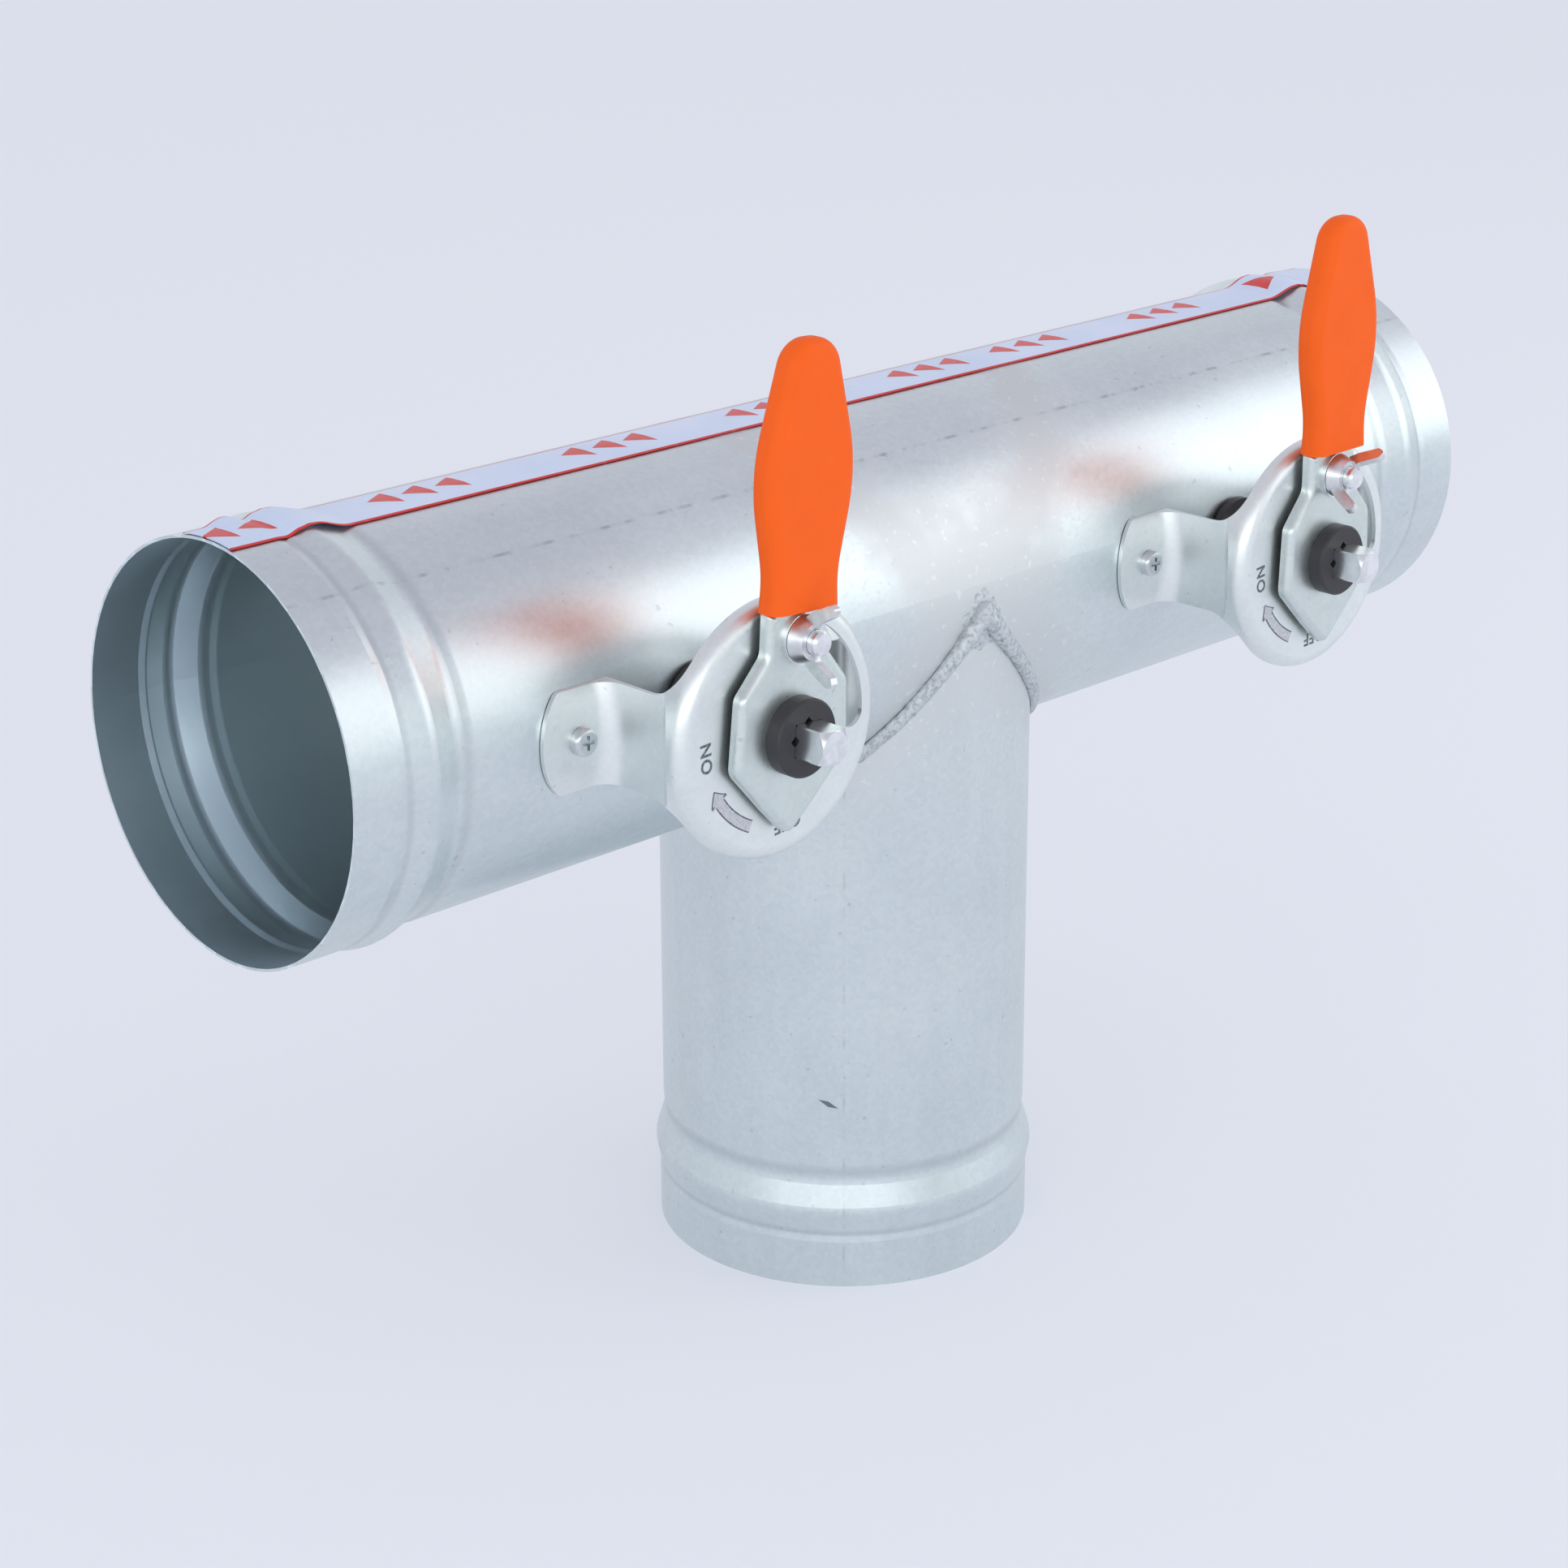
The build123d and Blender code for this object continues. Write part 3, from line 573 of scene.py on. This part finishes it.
red = arrow_mask(reversed_tip, -reversed_length, arrow_half_width)
for tip in arrow_tips:
    red = calc(tape_tree, "MAXIMUM", red, arrow_mask(tip, arrow_length, arrow_half_width))
for edge, inward in ((tape_edge_low, 1), (tape_edge_high, -1)):
    from_edge = calc(tape_tree, "MULTIPLY", inward, calc(
        tape_tree, "SUBTRACT", round_run, math.radians(edge) * duct_radius))
    red = calc(tape_tree, "MAXIMUM", red, fade(
        tape_tree, from_edge, edge_line, edge_line - 0.15 * mm))
worn_print = fade(tape_tree, grain(tape_tree, tape_place, 300.0, 4.0), 0.22, 0.42)
red = calc(tape_tree, "MULTIPLY", red, calc(tape_tree, "MULTIPLY_ADD", worn_print, 0.12, 0.86))
film = ramp(tape_tree, grain(tape_tree, tape_place, 40.0, 4.0), [
    (0.35, (0.62, 0.72, 0.90)), (0.65, (0.69, 0.78, 0.94))])
feed(tape_tree, tape_shader.inputs["Base Color"],
     mixed(tape_tree, red, film, (0.66, 0.035, 0.025)))
bumped(tape_tree, tape_shader, grain(tape_tree, tape_place, 240.0, 3.0, (0.4, 1.0, 1.0)),
       0.12 * mm, 0.35)
print(len(arrow_tips), "small arrows on the tape")

# %% [markdown]
# ## Dress the solids
#
# Each solid's record names its material slot, and the slot picks the finish. Where two
# solids share a slot but look different, as a plate and its lever do, the piece's own name
# decides.

# %% Dress the solids
finish_of_slot = {
    "galvanised_duct": run_sheet, "galvanised_blade": shaded_blade_sheet, "zinc_weld": weld_zinc,
    "label_tape": tape_film, "pressed_steel": plate_sheet, "bright_steel": bar_steel,
    "zinc_plated": plated_steel, "black_nylon": black_nylon, "orange_grip": orange_sleeve,
}
finish_of_node = {"branch_tube": branch_sheet, "left_lever": lever_sheet,
                  "right_lever": lever_sheet, "plate_screws": screw_steel}
slot_of_node = {row["node"]: row["material_slot"] for row in frame["record"]["subparts"]}
for name, piece in nodes.items():
    piece.data.materials.clear()
    piece.data.materials.append(finish_of_node.get(name) or finish_of_slot[slot_of_node[name]])
print("dressed", len(nodes), "solids")

# %% [markdown]
# ## New pieces
#
# A new piece starts as a bmesh, is shaped by bmesh operators, and ends as an object at the
# origin with its place in its mesh. One function does that last step: it turns the faces
# outwards, shades them smooth up to a sharp angle, gives the piece its finish and says which
# body it rides on.

# %% Add a piece


def add_piece(name, form, finish, body, sharp_degrees=40, outwards=True):
    """Make a bmesh into a piece of the part."""
    if outwards:
        bmesh.ops.recalc_face_normals(form, faces=form.faces)
    data = bpy.data.meshes.new(name)
    form.to_mesh(data)
    form.free()
    data.shade_smooth()
    data.set_sharp_from_angle(angle=math.radians(sharp_degrees))
    data.materials.append(finish)
    piece = bpy.data.objects.new(name, data)
    bpy.context.scene.collection.objects.link(piece)
    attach(piece, body)
    print(name, len(data.polygons), "faces")
    return piece


# %% [markdown]
# ## The tape
#
# On the real part a strip of film is stuck along the top of the run. It can't follow the
# beads at the ends: it bridges from each crest down to the duct and leaves a dark gap
# there. It also has small folds near its ends. A flat grid is the right start, because
# the strip is one sheet: each of its points is laid at its height over the run, and a
# Solidify modifier then gives the film its thickness.

# %% Tape over the run
tape_gap = 0.10 * mm
tape_thickness = 0.22 * mm
tape_columns = 560
tape_rows = 26
lying_profile = [(0.0, 51.1), (13.0, 51.1), (15.8, 50.85), (19.8, 52.0), (22.0, 52.4),
                 (23.6, 52.3), (34.0, 50.02), (39.0, 50.0), (202.2, 50.0)]


def lying_radius(from_end):
    """Distance of the tape's underside from the run's axis, by distance from the rim."""
    for (start, low), (end, high) in zip(lying_profile, lying_profile[1:]):
        if from_end / mm <= end:
            share = (from_end / mm - start) / (end - start)
            share = share * share * (3 - 2 * share)
            return (low + (high - low) * share) * mm
    return duct_radius


def fold(value, middle, half_width):
    """A smooth hump of height 1."""
    share = abs(value - middle) / half_width
    return (1 - share * share) ** 2 if share < 1 else 0.0


def tape_lift(x, turn):
    """How far the film stands off the run where it is creased or loose."""
    left_end = x + run_half_length
    right_end = run_half_length - x
    lift = 1.5 * mm * fold(left_end, 11 * mm, 6 * mm) * fold(turn, -9.5, 5.0)
    lift += 0.5 * mm * fold(right_end, 12 * mm, 9 * mm) * fold(turn, -9, 6)
    loose = max(fold(left_end, 22 * mm, 30 * mm), fold(right_end, 22 * mm, 34 * mm))
    crease = noise.noise(Vector((x * 90, turn * 0.22, 3.7)))
    lift += 0.35 * mm * loose * max(0.0, crease)
    lift += 0.06 * mm * (1 + noise.noise(Vector((x * 45, turn * 0.35, 8.1))))
    return lift


tape_form = bmesh.new()
bmesh.ops.create_grid(tape_form, x_segments=tape_columns, y_segments=tape_rows, size=1.0)
tape_middle = (tape_edge_low + tape_edge_high) / 2
tape_half_turn = (tape_edge_high - tape_edge_low) / 2
for point in tape_form.verts:
    x = point.co.x * (run_half_length - 0.3 * mm)
    turn = tape_middle - point.co.y * tape_half_turn
    turn += 0.12 * noise.noise(Vector((x * 60, 1.3, 0))) * abs(point.co.y)
    radius = lying_radius(run_half_length - abs(x)) + tape_gap + tape_lift(x, turn)
    lean = math.radians(turn)
    point.co = Vector((x, -radius * math.sin(lean), run_height + radius * math.cos(lean)))
tape = add_piece("tape", tape_form, tape_film, "ducts", 60, outwards=False)
film_wall = tape.modifiers.new("film", "SOLIDIFY")
film_wall.thickness = tape_thickness
film_wall.offset = 1.0
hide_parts("label_tape")

# %% [markdown]
# ## The weld
#
# The solid has a smooth round bead in the corner between the ducts. A real bead is lumpy:
# it was laid in short steps, and it spreads where the two ducts meet flush at the front
# and back. The visible weld is a copy of the solid's bead, merged into one skin, divided
# finely and pushed in and out along its normals by a seeded noise of two sizes.

# %% Rough weld
weld_form = bmesh.new()
weld_form.from_mesh(nodes["saddle_weld"].data)
bmesh.ops.remove_doubles(weld_form, verts=weld_form.verts, dist=0.002 * mm)
bmesh.ops.triangulate(weld_form, faces=weld_form.faces)
longest_side = 1.0 * mm
for _ in range(5):
    long_edges = [edge for edge in weld_form.edges if edge.calc_length() > longest_side]
    if not long_edges:
        break
    bmesh.ops.subdivide_edges(weld_form, edges=long_edges, cuts=1)
    bmesh.ops.triangulate(weld_form, faces=weld_form.faces)
weld_form.normal_update()
print("weld", len(weld_form.verts), "points")

crotch_reach = 13 * mm
pushed = []
for point in weld_form.verts:
    place = point.co
    aside = abs(place.x)
    near_crotch = fold(aside, 0.0, crotch_reach)
    lump = noise.noise(place * 330) + 0.6 * noise.noise(place * 900)
    out = 0.10 * mm + (0.24 + 0.25 * near_crotch) * mm * lump + 0.75 * mm * near_crotch
    pushed.append(place + point.normal * out)
for point, place in zip(weld_form.verts, pushed):
    point.co = place
weld = add_piece("weld", weld_form, weld_zinc, "ducts", 80)
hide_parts("saddle_weld")

# %% [markdown]
# A short pad of weld also lies on the front and the back, where the ducts are flush and
# the bead has no corner to sit in. It is half a flattened ball of many faces, roughened by
# the same noise.

# %% Weld pads at the crotches


def weld_pad(name, side, low, high, half_width, height):
    """A rough low pad on the run's face, on the front or on the back."""
    form = bmesh.new()
    bmesh.ops.create_icosphere(form, subdivisions=5, radius=1.0)
    bmesh.ops.bisect_plane(form, geom=form.verts[:] + form.edges[:] + form.faces[:],
                           plane_co=(0, 0, 0), plane_no=(0, 0, -1), clear_outer=True)
    bmesh.ops.holes_fill(form, edges=form.edges)
    middle = (low + high) / 2
    for point in form.verts:
        across, along, rise = point.co
        ragged = 1 + 0.30 * noise.noise(Vector((across * 2.2, along * 2.2, side * 4.0)))
        x = across * half_width * ragged * (1 - 0.35 * along)
        z = middle + along * (high - low) / 2 * ragged
        above = z - run_height
        wall = math.sqrt(duct_radius ** 2 - above ** 2) if above > 0 else duct_radius
        bump = rise ** 0.7 * height * (1 + 0.5 * noise.noise(Vector((x, side, z)) * 700))
        point.co = Vector((x, side * (wall - 0.35 * mm + (bump if rise > 0.001 else 0)), z))
    return add_piece(name, form, weld_zinc, "ducts", 80)


weld_pad("front_weld_pad", -1, run_height - 10 * mm, run_height + 6 * mm, 7.5 * mm, 0.9 * mm)
weld_pad("rear_weld_pad", 1, run_height - 9 * mm, run_height + 5 * mm, 7.0 * mm, 0.9 * mm)

# %% [markdown]
# ## Signs on the plates
#
# Each quadrant plate is stamped ON and OFF, with a curved arrow between them. The strokes
# are thin marks on the plate's face. Letters come from Blender's own font as a text curve,
# which is made a mesh before it is placed. The arrow's outline is a bent strip: a grid
# whose points are laid round the shaft. Each mark is a thin dark skin, because that is how
# the struck lines look: only their shadow shows.

# %% Stamped finish


def stamped(name, dark, pale):
    """The shade that lies in struck marks."""
    material, tree, shader, place = new_finish(name, 0.5, 1.0)
    feed(tree, shader.inputs["Base Color"], ramp(
        tree, grain(tree, place, 1500.0, 2.0), [(0.35, dark), (0.65, pale)]))
    bumped(tree, shader, grain(tree, place, 1800.0), 0.01 * mm, 0.3)
    return material


stamp_shade = stamped("stamp_shade", (0.10, 0.12, 0.13), (0.30, 0.33, 0.35))
stamp_field = stamped("stamp_field", (0.56, 0.57, 0.60), (0.70, 0.71, 0.74))
plate_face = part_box("left_quadrant_plate")[0][1]
mark_rise = 0.05 * mm
print("plate face at", round(plate_face / mm, 2), "mm")

# %% [markdown]
# The words read ON and OFF on the real plates. A text curve is the plain way to write
# them: the font gives the strokes, a small offset thickens them, and the curve's own
# extrude gives the thin skin. Each word is turned so that its top points away from the
# shaft, as it is struck on the plate.

# %% Letters


def letters(name, side, text, turn_degrees, radius, size):
    """Stamped letters whose tops point away from the shaft."""
    curve = bpy.data.curves.new(name, "FONT")
    curve.body = text
    curve.size = size
    curve.align_x = "CENTER"
    curve.align_y = "CENTER"
    curve.extrude = mark_rise / 2
    curve.offset = 0.10 * mm
    curve.space_character = 1.1
    source = bpy.data.objects.new(name + "_curve", curve)
    bpy.context.scene.collection.objects.link(source)
    flat = bpy.data.meshes.new_from_object(source)
    bpy.data.objects.remove(source)
    form = bmesh.new()
    form.from_mesh(flat)
    bpy.data.meshes.remove(flat)
    bmesh.ops.remove_doubles(form, verts=form.verts, dist=0.002 * mm)
    turn = math.radians(turn_degrees)
    outward = Vector((math.cos(turn), 0, math.sin(turn)))
    forward = Vector((0, -1, 0))
    place = Matrix((outward.cross(forward), outward, forward)).transposed().to_4x4()
    middle = Vector((shaft_x[side], plate_face - mark_rise / 2, run_height)) + outward * radius
    form.transform(Matrix.Translation(middle) @ place)
    return add_piece(name, form, stamp_shade, "ducts", 30)


for side, turns in (("left", (-177, -85)), ("right", (-175, -88))):
    letters(side + "_on_sign", side, "ON", turns[0], 23.4 * mm, 4.6 * mm)
    letters(side + "_off_sign", side, "OFF", turns[1], 23.6 * mm, 4.6 * mm)

# %% [markdown]
# The arrow between the words shows which way the lever closes the blade. It has a slightly
# duller face and a dark struck outline. Both are made of strips that bend round the shaft:
# a strip is a flat grid whose points are laid at a turn and a radius, and its radii may
# change along it, which makes the arrow's head and its notched tail.

# %% Curved arrows


def arc_strip(form, side, start, end, inner, outer, steps):
    """Add a strip round the shaft whose edges run between (start, end) radii in metres."""
    made = bmesh.ops.create_grid(form, x_segments=steps, y_segments=1, size=1.0)
    for point in made["verts"]:
        share = (point.co.x + 1) / 2
        turn = math.radians(start + (end - start) * share)
        low = inner[0] + (inner[1] - inner[0]) * share
        high = outer[0] + (outer[1] - outer[0]) * share
        radius = high if point.co.y > 0 else low
        point.co = Vector((shaft_x[side] + radius * math.cos(turn), plate_face - mark_rise / 2,
                           run_height + radius * math.sin(turn)))


tip_half_width = 0.15 * mm
stroke = 0.34 * mm
tail_steps, head_steps = 14, 6
notch_turn = 3.0
barb_turns = (1.6, 0.9)


def arrow_field(name, side, tip_turn, neck_turn, tail_turn, middle, half_width, half_head):
    """The slightly duller face inside the arrow's outline."""
    form = bmesh.new()
    arc_strip(form, side, neck_turn, tail_turn, (middle - half_width,) * 2,
              (middle + half_width,) * 2, tail_steps)
    arc_strip(form, side, tip_turn, neck_turn, (middle - tip_half_width, middle - half_head),
              (middle + tip_half_width, middle + half_head), head_steps)
    form.normal_update()
    bmesh.ops.solidify(form, geom=form.faces[:], thickness=mark_rise / 2)
    return add_piece(name, form, stamp_field, "ducts", 30)


def arrow_outline(name, side, tip_turn, neck_turn, tail_turn, middle, half_width, half_head):
    """The struck outline of an arrow that curves round the shaft."""
    form = bmesh.new()
    for inward in (1, -1):
        edge = middle - inward * half_width
        head_edge = middle - inward * half_head
        low, high = sorted((edge, edge + inward * stroke))
        arc_strip(form, side, neck_turn, tail_turn, (low, low), (high, high), tail_steps)
        low, high = sorted((head_edge, head_edge + inward * stroke))
        arc_strip(form, side, tip_turn, neck_turn - 1.5,
                  (middle - stroke / 2, low), (middle + stroke / 2, high), head_steps)
        low, high = sorted((head_edge, edge))
        arc_strip(form, side, neck_turn - barb_turns[0], neck_turn - barb_turns[1],
                  (low, low), (high, high), 2)
        tail_low, tail_high = sorted((edge, edge + inward * stroke * 1.5))
        notch_low, notch_high = sorted((middle, middle + inward * stroke))
        arc_strip(form, side, tail_turn, tail_turn - notch_turn, (tail_low, notch_low),
                  (tail_high, notch_high), 4)
    form.normal_update()
    bmesh.ops.solidify(form, geom=form.faces[:], thickness=mark_rise)
    return add_piece(name, form, stamp_shade, "ducts", 30)


arrow_size = (-155, -146, -115, 23.4 * mm, 1.6 * mm, 2.7 * mm)
for side in ("left", "right"):
    arrow_outline(side + "_turn_arrow", side, *arrow_size)
    arrow_field(side + "_arrow_face", side, *arrow_size)

# %% [markdown]
# ## Threads
#
# The lock bolts end in a thread beyond their wing nuts. A thread is one profile turned
# round the bolt and moved along it as it turns, which is what the spin operator does with
# a step along its axis. It lies over the solid's plain end, with its root sunk under the
# surface.

# %% Threads on the lock bolts
thread_pitch = 1.0 * mm
thread_radius = 3.0 * mm
thread_turns = 1.5
steps_a_turn = 32


def bolt_thread(side):
    """The part of the lock bolt's thread that shows past its wing nut."""
    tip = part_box(side + "_lock_bolt")[0][1]
    joint = joints[side + "_wing_nut_turn"]["pos_m"]
    axis = Vector((joint[0], tip, joint[2]))
    form = bmesh.new()
    bmesh.ops.create_circle(form, cap_ends=True, segments=3, radius=0.36 * mm)
    lay = Matrix.Rotation(math.pi / 2, 4, "Y")
    form.transform(Matrix.Translation(axis + Vector((thread_radius - 0.12 * mm, 2.2 * mm, 0)))
                   @ Matrix.Rotation(math.pi / 2, 4, "Z") @ lay)
    steps = int(steps_a_turn * thread_turns)
    bmesh.ops.spin(form, geom=form.verts[:] + form.edges[:] + form.faces[:], cent=axis,
                   axis=(0, -1, 0), dvec=Vector((0, -thread_pitch * thread_turns / steps, 0)),
                   angle=2 * math.pi * thread_turns, steps=steps, use_merge=False)
    bmesh.ops.remove_doubles(form, verts=form.verts, dist=0.001 * mm)
    return add_piece(side + "_bolt_thread", form, bar_steel, side + "_damper")


for side in ("left", "right"):
    bolt_thread(side)
